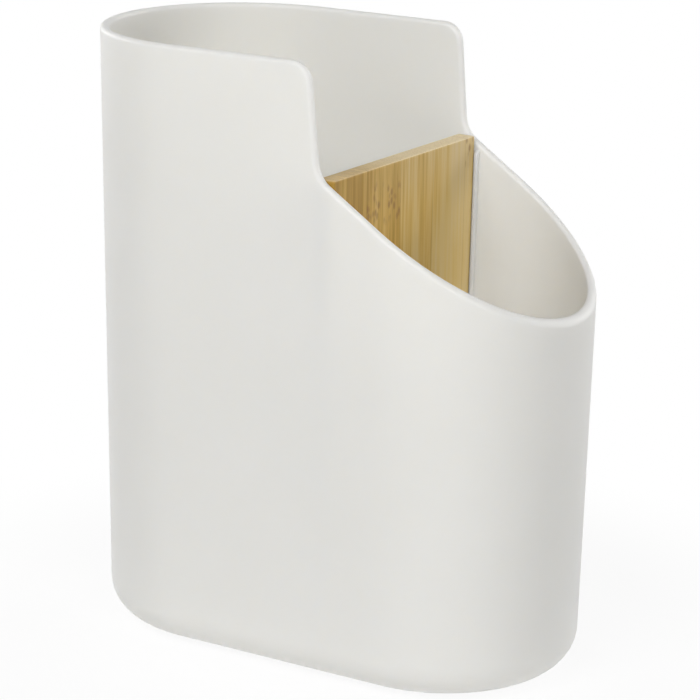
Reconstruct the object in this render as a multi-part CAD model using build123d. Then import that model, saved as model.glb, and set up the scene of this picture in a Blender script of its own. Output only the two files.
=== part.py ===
from build123d import *
import os
from math import cos, radians, sin, tan

# A two-compartment utensil holder: a moulded vessel with a stepped, sloping rim, a bamboo
# divider that drops into guide ribs, and round pads under the base. Sizes are in
# millimetres and angles in degrees. +Z is up, the tall end is at -X, the low end at +X,
# and the whole is alike on both sides of the XZ plane.

# Vessel: a stadium outline, measured outside at the height of the tall rim
overall_height = 200.0
rim_length = 172.0
rim_width = 95.0
draft_angle = 0.9
wall_thickness = 3.0
floor_thickness = 3.2
base_edge_radius = 12.8
inner_edge_radius = 9.6
rim_rounding = 1.4

# Step and slope of the rim, seen from the side, before the corners are rounded
step_top_x = 14.5
step_foot_x = 17.8
step_foot_height = 165.0
low_end_height = 120.0
step_top_radius = 7.0
step_foot_radius = 9.5

# Bamboo divider
divider_x = 19.0
divider_thickness = 6.0
divider_top_height = 164.0
divider_side_clearance = 0.5
divider_corner_radius = 1.0
divider_edge_chamfer = 0.4

# Guide ribs moulded on both side walls, a pair on each
rib_width = 1.4
rib_depth = 1.6
rib_slot_clearance = 0.3
rib_top_below_divider = 5.0

# Pads under the base, and the seats that hold them
pad_diameter = 12.0
pad_thickness = 1.6
pad_seat_depth = 0.8
pad_seat_clearance = 0.2
pad_edge_chamfer = 0.3
pad_edge_distance = 10.0
pad_spread_angle = 62.0

# Round mark that the mould's gate leaves in the middle of the base
gate_mark_diameter = 7.0
gate_mark_depth = 0.5

# Heights above the worktop
pad_stand_off = pad_thickness - pad_seat_depth
floor_height = pad_stand_off + floor_thickness

# How far the tools that cut a shape run past it
overrun = 5.0


def outline_at(height, inset):
    """Length and width of the drafted outline at a height, moved in from the outside."""
    lean = (overall_height - height) * tan(radians(draft_angle))
    return rim_length - 2 * (lean + inset), rim_width - 2 * (lean + inset)


def drafted_stadium(inset, bottom, top):
    """Solid stadium whose walls follow the vessel's lean, between two heights."""
    length, width = outline_at(top, inset)
    face = Plane.XY.offset(top) * SlotOverall(length, width)
    return extrude(face, amount=top - bottom, dir=(0, 0, -1), taper=draft_angle)


def round_base_edge(solid, radius):
    return fillet(solid.faces().sort_by(Axis.Z)[0].edges(), radius)


def slab_across(centre_x, thickness, top):
    """Upright slab square to X, wider than the vessel and from below it to a height."""
    slab = Box(thickness, rim_width + 2 * overrun, top + overrun,
               align=(Align.CENTER, Align.CENTER, Align.MAX))
    return Pos(centre_x, 0, top) * slab


def rim_cutter():
    """Everything above the rim: flat over the tall end, down the step, along the slope."""
    end_x = rim_length / 2
    fall = (step_foot_height - low_end_height) / (end_x - step_foot_x)
    beyond_x = end_x + overrun
    beyond_height = low_end_height - fall * overrun
    sky = overall_height + 3 * overrun
    corners = [
        (-beyond_x, overall_height),
        (step_top_x, overall_height),
        (step_foot_x, step_foot_height),
        (beyond_x, beyond_height),
    ]
    rim_line = FilletPolyline(*corners, radius=[step_top_radius, step_foot_radius])
    closing = Polyline(corners[-1], (beyond_x, sky), (-beyond_x, sky), corners[0])
    side_view = Plane.XZ * make_face([rim_line, closing])
    return extrude(side_view, amount=rim_width, both=True)


def make_cavity():
    """The hollow inside the vessel, less the guide ribs that stand out of its walls."""
    hollow = drafted_stadium(wall_thickness, floor_height, overall_height + overrun)
    hollow = round_base_edge(hollow, inner_edge_radius)
    core = drafted_stadium(wall_thickness + rib_depth, 0, overall_height + 2 * overrun)
    rib_reach = (divider_thickness + rib_width) / 2 + rib_slot_clearance
    rib_top = divider_top_height - rib_top_below_divider
    for rib_x in (divider_x - rib_reach, divider_x + rib_reach):
        hollow -= slab_across(rib_x, rib_width, rib_top) - core
    return hollow


def pad_places():
    """Centres of the pads, spread round the two ends of the flat under the base."""
    base_length, base_width = outline_at(pad_stand_off, base_edge_radius)
    end_centre_x = (base_length - base_width) / 2
    reach = base_width / 2 - pad_edge_distance
    pad_x = end_centre_x + reach * cos(radians(pad_spread_angle))
    pad_y = reach * sin(radians(pad_spread_angle))
    return {
        "pad_tall_end_front": (-pad_x, -pad_y),
        "pad_tall_end_back": (-pad_x, pad_y),
        "pad_low_end_front": (pad_x, -pad_y),
        "pad_low_end_back": (pad_x, pad_y),
    }


def disc(centre, diameter, bottom, thickness):
    cylinder = Cylinder(diameter / 2, thickness, align=(Align.CENTER, Align.CENTER, Align.MIN))
    return Pos(*centre, bottom) * cylinder


def rim_edges(shell, cutter):
    """Outer and inner edges of the rim: on the cut, and not straight across the wall."""
    touching = 0.001
    edges = []
    for edge in shell.edges():
        crosses_wall = edge.geom_type == GeomType.LINE and abs(edge.tangent_at(0.5).Y) > 0.9
        if cutter.distance_to(edge.position_at(0.5)) < touching and not crosses_wall:
            edges.append(edge)
    return edges


def make_vessel():
    """Moulded shell: outer form less the hollow and the rim cut, with a rounded rim."""
    blank = drafted_stadium(0, pad_stand_off, overall_height + overrun)
    cutter = rim_cutter()
    shell = round_base_edge(blank, base_edge_radius) - make_cavity() - cutter
    shell = fillet(rim_edges(shell, cutter), rim_rounding)
    seat_diameter = pad_diameter + 2 * pad_seat_clearance
    for centre in pad_places().values():
        shell -= disc(centre, seat_diameter, pad_stand_off, pad_seat_depth)
    return shell - disc((0, 0), gate_mark_diameter, pad_stand_off, gate_mark_depth)


def make_divider():
    """Bamboo board: a slice of the hollow, drawn in by the clearance at its sides."""
    inset = wall_thickness + divider_side_clearance
    filling = drafted_stadium(inset, floor_height, divider_top_height)
    filling = round_base_edge(filling, inner_edge_radius)
    board = filling & slab_across(divider_x, divider_thickness, divider_top_height)
    top_corners = board.faces().sort_by(Axis.Z)[-1].edges().filter_by(Axis.X)
    board = fillet(top_corners, divider_corner_radius)
    sides = board.faces().sort_by(Axis.X)
    return chamfer(sides[0].edges() + sides[-1].edges(), divider_edge_chamfer)


def make_pad(centre):
    pad = disc(centre, pad_diameter, 0, pad_thickness)
    return chamfer(pad.faces().sort_by(Axis.Z)[0].edges(), pad_edge_chamfer)


pieces = {"vessel": make_vessel(), "divider": make_divider()}
for pad_name, pad_centre in pad_places().items():
    pieces[pad_name] = make_pad(pad_centre)

# The origin stands on the worktop, under the middle of the vessel's overall length
middle_x = pieces["vessel"].bounding_box().center().X
os.makedirs("parts", exist_ok=True)
for name, piece in pieces.items():
    export_step(Pos(-middle_x, 0, 0) * piece, f"parts/{name}.step")
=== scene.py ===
import bpy
import numpy as np
from mathutils import Matrix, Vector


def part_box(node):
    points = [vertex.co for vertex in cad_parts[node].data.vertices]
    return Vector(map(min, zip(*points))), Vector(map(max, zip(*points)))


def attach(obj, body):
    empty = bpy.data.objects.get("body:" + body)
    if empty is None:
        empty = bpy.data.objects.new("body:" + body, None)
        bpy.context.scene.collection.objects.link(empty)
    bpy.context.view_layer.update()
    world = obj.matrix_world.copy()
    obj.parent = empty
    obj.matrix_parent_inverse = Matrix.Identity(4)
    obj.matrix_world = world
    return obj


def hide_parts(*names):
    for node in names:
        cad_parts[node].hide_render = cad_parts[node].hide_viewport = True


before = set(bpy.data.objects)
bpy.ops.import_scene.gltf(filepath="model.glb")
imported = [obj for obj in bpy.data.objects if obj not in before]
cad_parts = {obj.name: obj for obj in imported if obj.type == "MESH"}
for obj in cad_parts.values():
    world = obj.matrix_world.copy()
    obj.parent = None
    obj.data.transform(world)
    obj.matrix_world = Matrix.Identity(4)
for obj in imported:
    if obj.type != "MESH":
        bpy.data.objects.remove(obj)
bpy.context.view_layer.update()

# The vessel is one shell of white polypropylene, injection moulded on a core, with a little draft
# so that it slips off. The wall keeps one thickness from the base to the rim. The rim is rounded
# over, drops in one step, and then runs down a slope to the low end.
MM = 0.001
rim_length, rim_width, rim_height = 172.0, 95.0, 200.0
draft_angle = np.radians(0.9)
wall_thickness = 3.0
base_height, floor_height = 0.8, 4.0
base_edge_radius, floor_edge_radius = 12.8, 9.6
rim_rounding = 1.4
step_top_x, step_foot_x = 14.5, 17.8
step_foot_height, low_end_height = 165.0, 120.0
step_radii = [7.0, 9.5]
gate_mark_radius, gate_mark_depth = 3.5, 0.5
divider_x = 19.0

end_centre = (rim_length - rim_width) / 2
hub_height = base_height + base_edge_radius
slope = (step_foot_height - low_end_height) / (rim_length / 2 - step_foot_x)
quarter = np.pi / 2

# Every x here is measured from the middle of the vessel. Where that lies in the frame follows
# from the divider's place there.
divider_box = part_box("divider")
middle_x = (divider_box[0].x + divider_box[1].x) / 2 / MM - divider_x


def rim_from_the_side(points_on_a_run, points_on_an_arc):
    """The rim over a straight wall, as x, height, heading and share of its length.

    Straight runs meet at two corners. An arc leaves its run one tangent length before the
    corner, which is the radius times the tangent of half the turn, and its heading then turns
    evenly: each point is the arc's hub less the radius times the direction to the left.
    """
    foot_of_slope = low_end_height + slope * (rim_length / 2 - end_centre)
    corners = np.array([(-end_centre, rim_height), (step_top_x, rim_height),
                        (step_foot_x, step_foot_height), (end_centre, foot_of_slope)])
    legs = np.diff(corners, axis=0)
    leg_heading = np.arctan2(legs[:, 1], legs[:, 0])
    before, turn = leg_heading[:-1, None], np.diff(leg_heading)[:, None]
    radius = np.array(step_radii)[:, None] * np.sign(turn)
    tangent = radius * np.tan(turn / 2)
    heading = before + turn * np.linspace(0, 1, points_on_an_arc)
    hub_x = corners[1:-1, :1] - tangent * np.cos(before) - radius * np.sin(before)
    hub_z = corners[1:-1, 1:] - tangent * np.sin(before) + radius * np.cos(before)
    x = np.hstack([corners[0, 0], (hub_x + radius * np.sin(heading)).ravel(), corners[-1, 0]])
    z = np.hstack([corners[0, 1], (hub_z - radius * np.cos(heading)).ravel(), corners[-1, 1]])
    heading = np.hstack([leg_heading[0], heading.ravel(), leg_heading[-1]])
    length = np.append(0, np.cumsum(np.hypot(np.diff(x), np.diff(z))))
    run_starts = length[[0, points_on_an_arc, -2]]
    run_ends = length[[1, points_on_an_arc + 1, -1]]
    on_runs = np.linspace(run_starts, run_ends, points_on_a_run + 2)[1:-1]
    at = np.sort(np.append(length, on_runs))
    return [np.interp(at, length, values) for values in (x, z, heading)] + [at / length[-1]]


# Stations round the vessel, seen from above and against the clock: the front wall from the tall
# end to the low one, the low end, the back wall and the tall end. Each has a centre on the middle
# line, the angle at which the wall faces, and the rim's height, heading and climb across the wall.
points_on_an_end = 72
side_x, side_height, side_heading, side_share = rim_from_the_side(
    points_on_a_run=7, points_on_an_arc=14)
low_angle = np.linspace(-quarter, quarter, points_on_an_end + 2)[1:-1]
tall_angle = low_angle + np.pi
side, end = np.ones(len(side_x)), np.ones(points_on_an_end)
side_foot = (2 * side_share - 1) * end_centre
centre = np.hstack([side_x, end * end_centre, side_x[::-1], -end * end_centre])
foot_centre = np.hstack([side_foot, end * end_centre, side_foot[::-1], -end * end_centre])
angle = np.hstack([-quarter * side, low_angle, quarter * side, tall_angle])
on_side = np.hstack([side, 0 * end, side, 0 * end])
base_reach = rim_width / 2 - rim_height * np.tan(draft_angle)
low_end_rim = (low_end_height + slope * (rim_width / 2 - base_reach * np.cos(low_angle))) / (
    1 + slope * np.tan(draft_angle) * np.cos(low_angle))
rim_top = np.hstack([side_height, low_end_rim, side_height[::-1], end * rim_height])
rim_heading = np.hstack([side_heading, np.arctan(slope * np.sin(low_angle)),
                         -side_heading[::-1], 0 * end])
rim_climb = np.hstack([0 * side, slope * np.cos(low_angle), 0 * side, 0 * end])


def wall_point(centre, angle, height, inset):
    """From a centre on the middle line, out at the angle by half the rim's width, less the
    inset, and less the tangent of the draft times the depth below the tall rim."""
    reach = rim_width / 2 - inset - (rim_height - height) * np.tan(draft_angle)
    return np.stack([centre + reach * np.cos(angle), reach * np.sin(angle), height], axis=-1)


def rim_place(inset, drop):
    """Centre, angle and height of a point an inset in from the outer face, and a drop down from
    the rim line: the drop is square to the rim's heading, so part of it goes along the wall."""
    along = drop * np.sin(rim_heading)
    return (centre - on_side * along * np.sin(angle),
            angle + (1 - on_side) * along / (rim_width / 2),
            rim_top + rim_climb * inset - drop * np.cos(rim_heading))


def wall_rows(inset, shares):
    """Rows up a face of the wall: centre, angle and height each go in a straight line from the
    top of the rounded foot to where the rim's own rounding starts."""
    foot_height = hub_height - (base_edge_radius - inset) * np.sin(draft_angle)
    top_centre, top_angle, top_height = rim_place(inset, rim_rounding)
    share = np.array(shares)[:, None]
    return wall_point(foot_centre + share * (top_centre - foot_centre),
                      angle + share * (top_angle - angle),
                      foot_height + share * (top_height - foot_height), inset)


def foot_rows(radius, inset, steps):
    """Rows round the foot of a face: a circle arc that starts level and ends along the wall."""
    hub_reach = (rim_width / 2 - inset - (rim_height - hub_height) * np.tan(draft_angle)
                 - radius / np.cos(draft_angle))
    turn = np.linspace(-quarter, -draft_angle, steps)[:, None]
    reach, height = hub_reach + radius * np.cos(turn), hub_height + radius * np.sin(turn)
    return np.stack([foot_centre + reach * np.cos(angle), reach * np.sin(angle),
                     height + 0 * angle], axis=-1)


def rim_rows(steps):
    """Rows over the rim: a quarter circle up from the outer face, and its mirror image down to
    the inner one."""
    turn = np.linspace(0, quarter, steps)[:, None]
    inset, drop = rim_rounding * (1 - np.cos(turn)), rim_rounding * (1 - np.sin(turn))
    inset = np.vstack([inset, wall_thickness - inset[::-1]])
    drop = np.vstack([drop, drop[::-1]])
    rim_centre, rim_angle, height = rim_place(inset, drop)
    return wall_point(rim_centre, rim_angle, height, inset)


def level_rows(outline, middle, shares):
    """Rows across a level face, each a share of the way from a middle ring to its outline."""
    return middle + np.array(shares)[:, None, None] * (outline - middle)


weld_reach = 0.002 * MM
sharp_angle = np.radians(33)


def weld_and_apply(piece):
    """Makes points that meet one point, after the piece's other modifiers, and puts the result
    in the piece's own mesh, smooth but for its sharp edges."""
    weld = piece.modifiers.new("weld", "WELD")
    weld.merge_threshold = weld_reach
    shown = piece.evaluated_get(bpy.context.evaluated_depsgraph_get())
    mesh = bpy.data.meshes.new_from_object(shown)
    piece.modifiers.clear()
    piece.data = mesh
    mesh.shade_smooth()
    mesh.set_sharp_from_angle(angle=sharp_angle)


def closed_mesh(name, points):
    """A closed skin over one or more grids of points, given as grid, row, column and xyz in mm.

    Each point is joined to the next in its row and to the same two in the next row. Rows close
    on themselves, and the first and last row are a single point, which the weld makes a pole.
    """
    points = points.reshape(-1, *points.shape[-3:])
    number = np.arange(points[..., 0].size).reshape(points.shape[:-1])
    ahead = np.roll(number, -1, axis=2)
    quads = np.stack([number[:, :-1], ahead[:, :-1], ahead[:, 1:], number[:, 1:]], axis=-1)
    mesh = bpy.data.meshes.new(name)
    placed = (points + np.array([middle_x, 0, 0])) * MM
    mesh.from_pydata(placed.reshape(-1, 3), [], quads.reshape(-1, 4))
    piece = bpy.data.objects.new(name, mesh)
    bpy.context.scene.collection.objects.link(piece)
    weld_and_apply(piece)
    return piece


floor_ring = foot_rows(floor_edge_radius, wall_thickness, steps=14)[::-1]
base_ring = foot_rows(base_edge_radius, inset=0, steps=18)
base_outline = base_ring[0]
bearing = np.arctan2(base_outline[:, 1], base_outline[:, 0])
gate_ring = np.stack([gate_mark_radius * np.cos(bearing), gate_mark_radius * np.sin(bearing),
                      base_outline[:, 2]], axis=-1)
gate_floor = gate_ring + [0, 0, gate_mark_depth]
gate_middle = gate_floor * [0, 0, 1]
floor_outline = floor_ring[-1]
floor_middle = floor_outline * [0, 0, 1]
near_an_edge = 0.006
up_the_wall = [near_an_edge, 0.1, 0.3, 0.5, 0.7, 0.9, 1 - near_an_edge]
vessel = closed_mesh("vessel_shell", np.concatenate([
    gate_middle[None], gate_floor[None], gate_ring[None],
    level_rows(base_outline, gate_ring, [0.4, 0.8, 0.98]),
    base_ring, wall_rows(0, up_the_wall), rim_rows(steps=8),
    wall_rows(wall_thickness, up_the_wall[::-1]), floor_ring,
    level_rows(floor_outline, floor_middle, [0.98, 0.6, 0]),
]))

# Two pairs of ribs on the inside of the side walls guide the divider, and four shallow round
# seats under the base take the pads. Both belong to the same moulding, so they are joined to the
# vessel and cut out of it.
rib_width, rib_depth, rib_rounding = 1.4, 1.6, 0.5
rib_spacing = 8.0
rib_foot, rib_top, rib_root = 8.0, 159.0, 1.5
rib_levels = [40, 80, 120]
pad_radius, pad_seat_gap, pad_seat_depth = 6.0, 0.2, 0.8
pad_edge_distance, pad_spread = 10.0, np.radians(62)
points_on_an_edge, points_round = 5, 48


def rib_points(x, side):
    """An upright bar on a side wall: across is a flat with its corners turned on a small arc,
    and the face leans with the wall. At the top the face curves back on a quarter circle."""
    corner = np.linspace(0, quarter, points_on_an_edge)
    lift = rib_rounding * np.sin(corner)
    half = rib_width / 2 - rib_rounding * (1 - np.cos(corner))
    across = np.hstack([rib_width / 2, half, -half[::-1], -rib_width / 2])
    buried = -1
    proud = np.hstack([buried, lift, lift[::-1], buried])
    rounded_top = rib_top - rib_depth * (1 - np.sin(corner))
    height = np.hstack([rib_foot, rib_levels, rounded_top])[:, None] + 0 * across
    upright = np.ones(1 + len(rib_levels))
    depth = rib_depth * np.hstack([upright, np.cos(corner)])[:, None]
    inset = np.where(proud == buried, rib_root, wall_thickness + depth - rib_rounding + proud)
    reach = rim_width / 2 - inset - (rim_height - height) * np.tan(draft_angle)
    rows = np.stack([x + side * across + 0 * reach, side * reach, height], axis=-1)
    ends = rows[[0, -1]].mean(axis=1, keepdims=True) + 0 * rows[:1]
    return np.concatenate([ends[:1], rows, ends[1:]])


def turned_points(middle, radius, height):
    """A profile of radius and height turned once round an upright line through the middle."""
    turn = np.linspace(0, 2 * np.pi, points_round, endpoint=False)
    radius, height = np.array(radius)[:, None], np.array(height)[:, None]
    return np.stack([middle[0] + radius * np.cos(turn), middle[1] + radius * np.sin(turn),
                     height + 0 * turn], axis=-1)


ribs = closed_mesh("ribs", np.stack([
    rib_points(divider_x + offset, side)
    for side in (-1, 1) for offset in (-rib_spacing / 2, rib_spacing / 2)]))
flat_reach = (rim_width / 2 - base_edge_radius
              - (rim_height - base_height) * np.tan(draft_angle) - pad_edge_distance)
pad_x = end_centre + flat_reach * np.cos(pad_spread)
pad_y = flat_reach * np.sin(pad_spread)
pad_places = {"tall_end_front": (-pad_x, -pad_y), "tall_end_back": (-pad_x, pad_y),
              "low_end_front": (pad_x, -pad_y), "low_end_back": (pad_x, pad_y)}
seat_radius = pad_radius + pad_seat_gap
seat_top = base_height + pad_seat_depth
seats = closed_mesh("seats", np.stack([
    turned_points(middle, [0, seat_radius, seat_radius, 0], [0, 0, seat_top, seat_top])
    for middle in pad_places.values()]))
for operation, tool in (("UNION", ribs), ("DIFFERENCE", seats)):
    change = vessel.modifiers.new(operation, "BOOLEAN")
    change.operation, change.object, change.solver = operation, tool, "EXACT"
weld_and_apply(vessel)
for tool in (ribs, seats):
    bpy.data.objects.remove(tool)

# The white is a matte one: the mould was spark eroded, which leaves a skin of very fine pits, and
# the plastic itself is slightly warm and a touch uneven where it flowed.


def add_node(tree, kind, inputs, **settings):
    """A shader node with its settings. Each input takes a value or another node's output."""
    made = tree.nodes.new("ShaderNode" + kind)
    for name, value in settings.items():
        setattr(made, name, value)
    for name, value in inputs.items():
        if isinstance(value, bpy.types.NodeSocket):
            tree.links.new(value, made.inputs[name])
        else:
            made.inputs[name].default_value = value
    return made


def paint(red, green, blue):
    """A colour as it is seen on a screen, from 0 to 255, as the light it stands for."""
    seen = np.array([red, green, blue]) / 255
    return (*np.where(seen > 0.04045, ((seen + 0.055) / 1.055) ** 2.4, seen / 12.92), 1.0)


def mix_colours(tree, share, first, second, blend="MIX"):
    """Two colours mixed by a share, or the second laid over the first by a blend. The node has
    a share at 0 and its colours at 6, 7 and, put out, at 2."""
    mix = add_node(tree, "Mix", {}, data_type="RGBA", blend_type=blend)
    for socket, value in zip([mix.inputs[0], mix.inputs[6], mix.inputs[7]],
                             [share, first, second]):
        if isinstance(value, bpy.types.NodeSocket):
            tree.links.new(value, socket)
        else:
            socket.default_value = value
    return mix.outputs[2]


def new_material(name):
    """A material with nodes, its node tree and its shader."""
    material = bpy.data.materials.new(name)
    material.use_nodes = True
    tree = material.node_tree
    return material, tree, tree.nodes["Principled BSDF"]


mottles_in_a_metre = 28.0


def moulded_skin():
    """A group that puts out the height of a mould's fine pits, and a slow mottle.

    Pit Size is in metres. The height is noise at the pit's size and at a third of it, and the
    mottle is noise that changes over centimetres.
    """
    group = bpy.data.node_groups.new("moulded_skin", "ShaderNodeTree")
    pit_size = group.interface.new_socket("Pit Size", in_out="INPUT", socket_type="NodeSocketFloat")
    pit_size.default_value = 0.4 * MM
    group.interface.new_socket("Height", in_out="OUTPUT", socket_type="NodeSocketFloat")
    group.interface.new_socket("Mottle", in_out="OUTPUT", socket_type="NodeSocketFloat")
    given, put_out = group.nodes.new("NodeGroupInput"), group.nodes.new("NodeGroupOutput")
    place = add_node(group, "TexCoord", {}).outputs["Object"]
    scale = add_node(group, "Math", {0: 1.0, 1: given.outputs["Pit Size"]}, operation="DIVIDE")
    pits = add_node(group, "TexNoise", {"Vector": place, "Scale": scale.outputs[0],
                                        "Detail": 2.0, "Roughness": 0.6})
    mottle = add_node(group, "TexNoise", {"Vector": place, "Scale": mottles_in_a_metre,
                                          "Detail": 3.0})
    group.links.new(pits.outputs["Fac"], put_out.inputs["Height"])
    group.links.new(mottle.outputs["Fac"], put_out.inputs["Mottle"])
    return group


skin = moulded_skin()


def moulded_material(name, tones, roughness, pit_size, pit_depth, strength):
    """A material with the moulded skin. The mottle mixes its two tones, and the pits make a bump
    and set the roughness, which goes from the first value given to the second."""
    material, tree, shader = new_material(name)
    placed = add_node(tree, "Group", {"Pit Size": pit_size}, node_tree=skin)
    mottle, pits = placed.outputs["Mottle"], placed.outputs["Height"]
    bump = add_node(tree, "Bump", {"Height": pits, "Strength": strength, "Distance": pit_depth})
    ranged = add_node(tree, "MapRange", {"Value": pits, "To Min": roughness[0],
                                         "To Max": roughness[1]})
    tree.links.new(mix_colours(tree, mottle, *tones), shader.inputs["Base Color"])
    tree.links.new(ranged.outputs[0], shader.inputs["Roughness"])
    tree.links.new(bump.outputs["Normal"], shader.inputs["Normal"])
    return material


white_plastic = moulded_material(
    "white_plastic", tones=[paint(240, 239, 234), paint(243, 242, 238)], roughness=[0.44, 0.56],
    pit_size=0.45 * MM, pit_depth=0.05 * MM, strength=0.25)
plastic = white_plastic.node_tree.nodes["Principled BSDF"]
plastic.inputs["IOR"].default_value = 1.49
plastic.inputs["Subsurface Weight"].default_value = 1.0
plastic.inputs["Subsurface Radius"].default_value = (1.0, 0.97, 0.92)
plastic.inputs["Subsurface Scale"].default_value = 3.5 * MM
vessel.data.materials.append(white_plastic)
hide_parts("vessel")
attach(vessel, "holder")

# The divider is a board of pressed bamboo, sawn to the shape of the vessel's cross-section, with
# its edges eased by sanding and a thin clear finish. It is loose: it stands on the floor between
# the ribs and lifts straight out.
board_thickness, board_top = 6.0, 164.0
board_gap, board_easing = 0.5, 0.5
board_top_radius, board_face_margin = 1.0, 0.3


def board_outline(points_on_a_corner):
    """The board's edge seen along the vessel, as y, height and the way that it faces.

    Four arcs joined by straight runs: both lower corners follow the rounded foot of the wall
    at the board's gap, and both upper ones are small. The sides lean with the draft.
    """
    inset = wall_thickness + board_gap
    radii = np.array([floor_edge_radius, board_top_radius])
    hub_z = np.array([hub_height, board_top - board_top_radius])
    hub_y = (rim_width / 2 - inset - (rim_height - hub_z) * np.tan(draft_angle)
             - radii / np.cos(draft_angle))
    lower = np.linspace(-quarter, -draft_angle, points_on_a_corner)
    upper = np.linspace(-draft_angle, quarter, points_on_a_corner)
    facing = np.hstack([lower, upper])
    radius, hub_y, hub_z = (np.repeat(values, points_on_a_corner)
                            for values in (radii, hub_y, hub_z))
    y, z = hub_y + radius * np.cos(facing), hub_z + radius * np.sin(facing)
    return (np.hstack([y, -y[::-1]]), np.hstack([z, z[::-1]]),
            np.hstack([facing, np.pi - facing[::-1]]))


def board_points():
    """The outline carried across the board's thickness: from the middle of one face out to its
    eased edge, over a quarter circle, straight across, and the same back on the other face."""
    y, z, facing = board_outline(points_on_a_corner=10)
    turn = np.linspace(0, quarter, points_on_an_edge)
    drawn_in = board_easing * (1 - np.sin(turn))
    across = board_thickness / 2 - board_easing * (1 - np.cos(turn))
    on_the_face = drawn_in[0] + board_face_margin
    drawn_in = np.hstack([on_the_face, drawn_in, drawn_in[::-1], on_the_face])
    across = np.hstack([across[0], across, -across[::-1], -across[0]])
    drawn_in, across = drawn_in[:, None], across[:, None]
    rows = np.stack([divider_x - across + 0 * y, y - drawn_in * np.cos(facing),
                     z - drawn_in * np.sin(facing)], axis=-1)
    middle = np.array([0, 0, (floor_height + board_top) / 2]) + rows[[0, -1]] * [1, 0, 0]
    return np.concatenate([middle[:1], rows, middle[1:]])


board = closed_mesh("divider_board", board_points())

# Strips of the culm stand side by side, glued edge to edge. Each strip has its own tone and its
# own run of fibres, and one joint of the culm crosses it, where the fibres knot and darken.
strip_width, glue_line_y = 20.5, -24.2
joint_height, joint_step, culm_length = 152.0, 58.0, 165.0
joint_wander, joint_reach, joint_core = 8.0, 9.0, 2.0
knot_width, knot_length = 1.9, 3.4
noise_shift, knot_shift = 7.3, 5.1
noise_low, noise_high = 0.3, 0.7


def arithmetic(tree, operation, first, second=0.0, third=0.0):
    """One sum on two or three numbers or sockets."""
    return add_node(tree, "Math", {0: first, 1: second, 2: third}, operation=operation).outputs[0]


def spread(tree, value, low, high, to_low=0.0, to_high=1.0):
    """A number from one range carried over to another with soft ends, and held inside it."""
    return add_node(tree, "MapRange", {"Value": value, "From Min": low, "From Max": high,
                                       "To Min": to_low, "To Max": to_high},
                    interpolation_type="SMOOTHSTEP").outputs[0]


def drawn_out_noise(tree, y, z, strip, across, along, detail):
    """Noise with a period across and along the fibres, in mm, new for each strip."""
    place = add_node(tree, "CombineXYZ", {"X": arithmetic(tree, "DIVIDE", y, across),
                                          "Y": arithmetic(tree, "DIVIDE", z, along),
                                          "Z": arithmetic(tree, "MULTIPLY", strip,
                                                          noise_shift)})
    return add_node(tree, "TexNoise", {"Vector": place.outputs[0], "Scale": 1.0,
                                       "Detail": detail}).outputs["Fac"]


bamboo, tree, wood = new_material("pressed_bamboo")
in_mm = add_node(tree, "VectorMath", {0: add_node(tree, "TexCoord", {}).outputs["Object"],
                                      1: (1 / MM,) * 3}, operation="MULTIPLY")
xyz = add_node(tree, "SeparateXYZ", {"Vector": in_mm.outputs[0]})
y, z = xyz.outputs["Y"], xyz.outputs["Z"]
strips = arithmetic(tree, "DIVIDE", arithmetic(tree, "SUBTRACT", y, glue_line_y), strip_width)
strip = arithmetic(tree, "FLOOR", strips)
across_strip = arithmetic(tree, "FRACT", strips)

streaks = drawn_out_noise(tree, y, z, strip, across=1.5, along=60.0, detail=2.0)
fibres = drawn_out_noise(tree, y, z, strip, across=0.4, along=16.0, detail=2.0)
clouds = drawn_out_noise(tree, y, z, strip, across=9.0, along=45.0, detail=1.0)

# The joint: its height wanders a little across the strip, and dark knots lie in a band round it.
joint_z = arithmetic(tree, "FLOORED_MODULO",
                     arithmetic(tree, "MULTIPLY_ADD", strip, joint_step, joint_height),
                     culm_length)
slow = drawn_out_noise(tree, y, z, strip, across=5.0, along=60.0, detail=1.0)
wander = arithmetic(tree, "MULTIPLY_ADD", slow, joint_wander, -joint_wander / 2)
above_joint = arithmetic(tree, "SUBTRACT", arithmetic(tree, "ADD", z, wander), joint_z)
joint_band = spread(tree, arithmetic(tree, "ABSOLUTE", above_joint), joint_reach, joint_core)
knot_place = add_node(tree, "CombineXYZ", {"X": arithmetic(tree, "DIVIDE", y, knot_width),
                                           "Y": arithmetic(tree, "DIVIDE", z, knot_length),
                                           "Z": arithmetic(tree, "MULTIPLY", strip, knot_shift)})
knot_cells = add_node(tree, "TexVoronoi", {"Vector": knot_place.outputs[0], "Scale": 1.0})
knots = arithmetic(tree, "MULTIPLY", joint_band,
                   spread(tree, knot_cells.outputs["Distance"], low=0.55, high=0.15))
off_middle = arithmetic(tree, "ABSOLUTE", arithmetic(tree, "SUBTRACT", across_strip, 0.5))
glue_line = spread(tree, off_middle, low=0.485, high=0.495)

# The sawn ends of the fibres show on the upper edge as fine dark dots. The edge is painted paler,
# a painted sheen of light from above, most of all towards the back. Below it the faces are painted
# a little darker towards the top, as painted shade.
grain_starts, grain_full = board_top - 0.45, board_top - 0.2
paler_from_y, palest_from_y, least_pale, most_pale = -30, 0, 0.42, 0.83
top_shade_depth, top_shade_share = 26, 0.35
dots_in_a_mm = 1.6
end_grain = spread(tree, z, grain_starts, grain_full)
# Painted sheen: the upper edge is painted paler, more so towards the back.
painted_sheen_share = spread(tree, y, paler_from_y, palest_from_y, least_pale, most_pale)
painted_top_sheen = arithmetic(tree, "MULTIPLY", end_grain, painted_sheen_share)
# Painted shade: the faces are painted darker and less yellow towards the top edge.
painted_top_shade = spread(tree, z, board_top - top_shade_depth, board_top, 0.0, top_shade_share)
dot_cells = add_node(tree, "TexVoronoi", {"Vector": in_mm.outputs[0], "Scale": dots_in_a_mm})
end_dots = arithmetic(tree, "MULTIPLY", end_grain,
                      spread(tree, dot_cells.outputs["Distance"], low=0.42, high=0.18))
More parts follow.
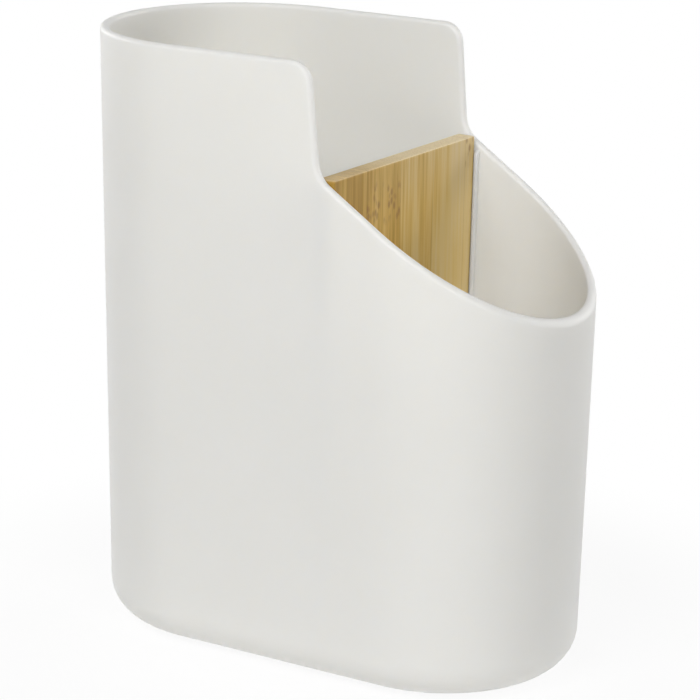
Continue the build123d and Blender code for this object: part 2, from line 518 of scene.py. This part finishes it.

# The wood is paler towards the back, half of that evenly and half from strip to strip. The even
# half is painted light, lighter away from the front wall's shade; the steps are the strips' tones.
# Streaks, clouds and fibres swing it both ways, and a ramp turns it into a colour.
first_tone, tone_and_shade_step = 0.22, 0.06
tone_and_shade = arithmetic(tree, "MULTIPLY_ADD", strips, tone_and_shade_step, first_tone)
tone_and_shade = arithmetic(tree, "MULTIPLY_ADD", strip, tone_and_shade_step, tone_and_shade)
for noise, swing in ((streaks, 0.1), (clouds, 0.09), (fibres, 0.05)):
    swung = spread(tree, noise, noise_low, noise_high, -swing, swing)
    tone_and_shade = arithmetic(tree, "ADD", tone_and_shade, swung)
ramp = add_node(tree, "ValToRGB", {"Fac": tone_and_shade})
ramp.color_ramp.elements[0].color = paint(183, 140, 51)
ramp.color_ramp.elements[1].color = paint(245, 226, 176)
for place, shade in ((0.15, (203, 159, 66)), (0.3, (230, 188, 95)), (0.45, (240, 207, 130)),
                     (0.7, (243, 215, 153))):
    ramp.color_ramp.elements.new(place).color = paint(*shade)

# Over that lie the painted top shade, the knots, the painted edge sheen with its dots, and the
# glue.
# This filter lays the painted shade towards the top over the ramp's colour.
top_shade_filter = (0.5, 0.55, 0.9, 1)
colour = mix_colours(tree, painted_top_shade, ramp.outputs["Color"], top_shade_filter, "MULTIPLY")
for mask, weight, shade in ((knots, 0.6, (150, 100, 52)), (painted_top_sheen, 1.0, (246, 227, 186)),
                            (end_dots, 0.28, (158, 118, 70)), (glue_line, 0.15, (140, 100, 52))):
    share = arithmetic(tree, "MULTIPLY", mask, weight)
    colour = mix_colours(tree, share, colour, paint(*shade))

# The wood tints the white walls beside it less than its own colour would: a camera set for
# white takes most of that tint out.
tint_taken_out, plain_tint = 0.75, (0.55, 0.53, 0.50, 1)
bounced = add_node(tree, "LightPath", {}).outputs["Is Diffuse Ray"]
share = arithmetic(tree, "MULTIPLY", bounced, tint_taken_out)
tree.links.new(mix_colours(tree, share, colour, plain_tint), wood.inputs["Base Color"])

# The fibres stand up a little, with knots and glue lines sunk between them.
knot_relief, glue_relief = -0.6, -0.5
smoothest, roughest = 0.48, 0.62
relief = arithmetic(tree, "MULTIPLY_ADD", knots, knot_relief, fibres)
relief = arithmetic(tree, "MULTIPLY_ADD", glue_line, glue_relief, relief)
grained = add_node(tree, "Bump", {"Height": relief, "Strength": 0.3, "Distance": 0.06 * MM})
roughness = spread(tree, fibres, noise_low, noise_high, smoothest, roughest)
tree.links.new(grained.outputs["Normal"], wood.inputs["Normal"])
tree.links.new(roughness, wood.inputs["Roughness"])
wood.inputs["IOR"].default_value = 1.42
board.data.materials.append(bamboo)
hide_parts("divider")
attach(board, "divider")

# Four pads of silicone rubber, pressed into their seats with adhesive, keep the holder from
# sliding and hold its base just off the worktop.
pad_thickness, pad_easing, pad_face_margin = 1.6, 0.35, 1.0
silicone = moulded_material(
    "silicone", tones=[paint(205, 205, 200), paint(214, 214, 209)], roughness=[0.6, 0.75],
    pit_size=0.6 * MM, pit_depth=0.06 * MM, strength=0.3)
turn = np.linspace(0, quarter, points_on_an_edge)
eased_radius = pad_radius - pad_easing * (1 - np.sin(turn))
eased_height = pad_easing * (1 - np.cos(turn))
pad_profile = np.hstack([0, pad_radius - pad_face_margin, eased_radius, pad_radius, 0])
pad_levels = np.hstack([0, 0, eased_height, pad_thickness, pad_thickness])
for place, middle in pad_places.items():
    pad = closed_mesh("grip_pad_" + place, turned_points(middle, pad_profile, pad_levels))
    pad.data.materials.append(silicone)
    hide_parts("pad_" + place)
    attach(pad, "holder")

# The holder stands on a white table that glows a little. The camera sees the table as plain
# white, with a faint shadow round the base that fades out between a near and a far distance. Its
# face lies a hair below the pads, so that it doesn't share a plane with theirs.


def seen_as_white(tree):
    """1 for rays that come from the camera, from gloss or from glass, and 0 for the others."""
    rays = add_node(tree, "LightPath", {}).outputs
    gloss = arithmetic(tree, "MAXIMUM", rays["Is Camera Ray"], rays["Is Glossy Ray"])
    return arithmetic(tree, "MAXIMUM", gloss, rays["Is Transmission Ray"])


floor_reach, floor_drop = 6.0, 0.05 * MM
table_colour, table_glow = (0.94, 0.94, 0.94, 1), 0.09
shade_near, shade_far, white_share = 0.1, 0.2, 0.9
corners = np.array([(-1, -1, 0), (1, -1, 0), (1, 1, 0), (-1, 1, 0)]) * floor_reach
corners = corners - [0, 0, floor_drop]
mesh = bpy.data.meshes.new("floor")
mesh.from_pydata(corners, [], [(0, 1, 2, 3)])
floor = bpy.data.objects.new("floor", mesh)
bpy.context.scene.collection.objects.link(floor)
material, tree, principled = new_material("white_table")
tree.nodes.remove(principled)
matte = add_node(tree, "BsdfDiffuse", {"Color": table_colour})
glow = add_node(tree, "Emission", {"Color": (1, 1, 1, 1), "Strength": table_glow})
lit = add_node(tree, "AddShader", {0: matte.outputs[0], 1: glow.outputs[0]})
white = add_node(tree, "Emission", {"Color": (1, 1, 1, 1), "Strength": 1.0})
away = add_node(tree, "VectorMath", {0: add_node(tree, "TexCoord", {}).outputs["Object"]},
                operation="LENGTH").outputs["Value"]
share = arithmetic(tree, "MULTIPLY", seen_as_white(tree),
                   spread(tree, away, shade_near, shade_far, white_share, 1.0))
shown = add_node(tree, "MixShader", {0: share, 1: lit.outputs[0], 2: white.outputs[0]})
tree.links.new(shown.outputs[0], tree.nodes["Material Output"].inputs["Surface"])
floor.data.materials.append(material)

# The light is that of a product tent. Its cloth is seen as plain white, and its light comes from
# four soft boxes round the holder: one high in front, one lower at the low end, and two near the
# table's level at the tall end and behind.
box_size, box_distance = 1.6, 3.2
world = bpy.data.worlds.new("tent")
bpy.context.scene.world = world
world.use_nodes = True
tree = world.node_tree
tent = tree.nodes["Background"]
tent.inputs["Color"].default_value = (1, 1, 1, 1)
tree.links.new(seen_as_white(tree), tent.inputs["Strength"])


def soft_box(name, azimuth, elevation, power):
    """A square lamp that faces the middle of the holder. Azimuth 0 is in front of the front
    wall, and it grows towards the low end."""
    azimuth, elevation = np.radians([azimuth, elevation])
    away = np.array([np.sin(azimuth) * np.cos(elevation), -np.cos(azimuth) * np.cos(elevation),
                     np.sin(elevation)])
    lamp = bpy.data.lights.new(name, "AREA")
    lamp.shape, lamp.size, lamp.energy = "SQUARE", box_size, power
    holder = bpy.data.objects.new(name, lamp)
    right = np.cross((0, 0, 1), away)
    right /= np.linalg.norm(right)
    turn = np.column_stack([right, np.cross(away, right), away])
    place = Matrix(turn.tolist()).to_4x4()
    place.translation = away * box_distance + np.array([0, 0, rim_height * MM / 2])
    holder.matrix_world = place
    bpy.context.scene.collection.objects.link(holder)


soft_box("front_box", azimuth=-1, elevation=44, power=51)
soft_box("low_end_box", azimuth=52, elevation=29, power=33)
soft_box("tall_end_box", azimuth=-103, elevation=10, power=37)
soft_box("back_box", azimuth=158, elevation=13, power=37)

# The camera stands in front, round towards the low end and a little above, and has a long lens.
# It is aimed at the middle of the holder, and moved a little to the right and down.
camera_yaw, camera_pitch, camera_roll = 31.34, 15.65, 1.06
camera_distance, camera_right, camera_up = 938.2, 1.78, -2.78
focal_pixels, picture_pixels = 2892.3, 700
yaw, pitch, roll = np.radians([camera_yaw, camera_pitch, camera_roll])
ahead = np.array([-np.sin(yaw) * np.cos(pitch), np.cos(yaw) * np.cos(pitch), -np.sin(pitch)])
level = np.array([np.cos(yaw), np.sin(yaw), 0])
upright = np.cross(level, ahead)
right = level * np.cos(roll) + upright * np.sin(roll)
up = upright * np.cos(roll) - level * np.sin(roll)
middle = np.array([middle_x, 0, (base_height + rim_height) / 2])
aim = middle + right * camera_right + up * camera_up
lens = bpy.data.cameras.new("camera")
lens.lens = focal_pixels / picture_pixels * lens.sensor_width
lens.clip_start, lens.clip_end = 0.05, 30
camera = bpy.data.objects.new("camera", lens)
place = Matrix(np.column_stack([right, up, -ahead]).tolist()).to_4x4()
place.translation = (aim - ahead * camera_distance) * MM
camera.matrix_world = place
bpy.context.scene.collection.objects.link(camera)
bpy.context.scene.camera = camera
bpy.context.scene.view_settings.view_transform = "Standard"
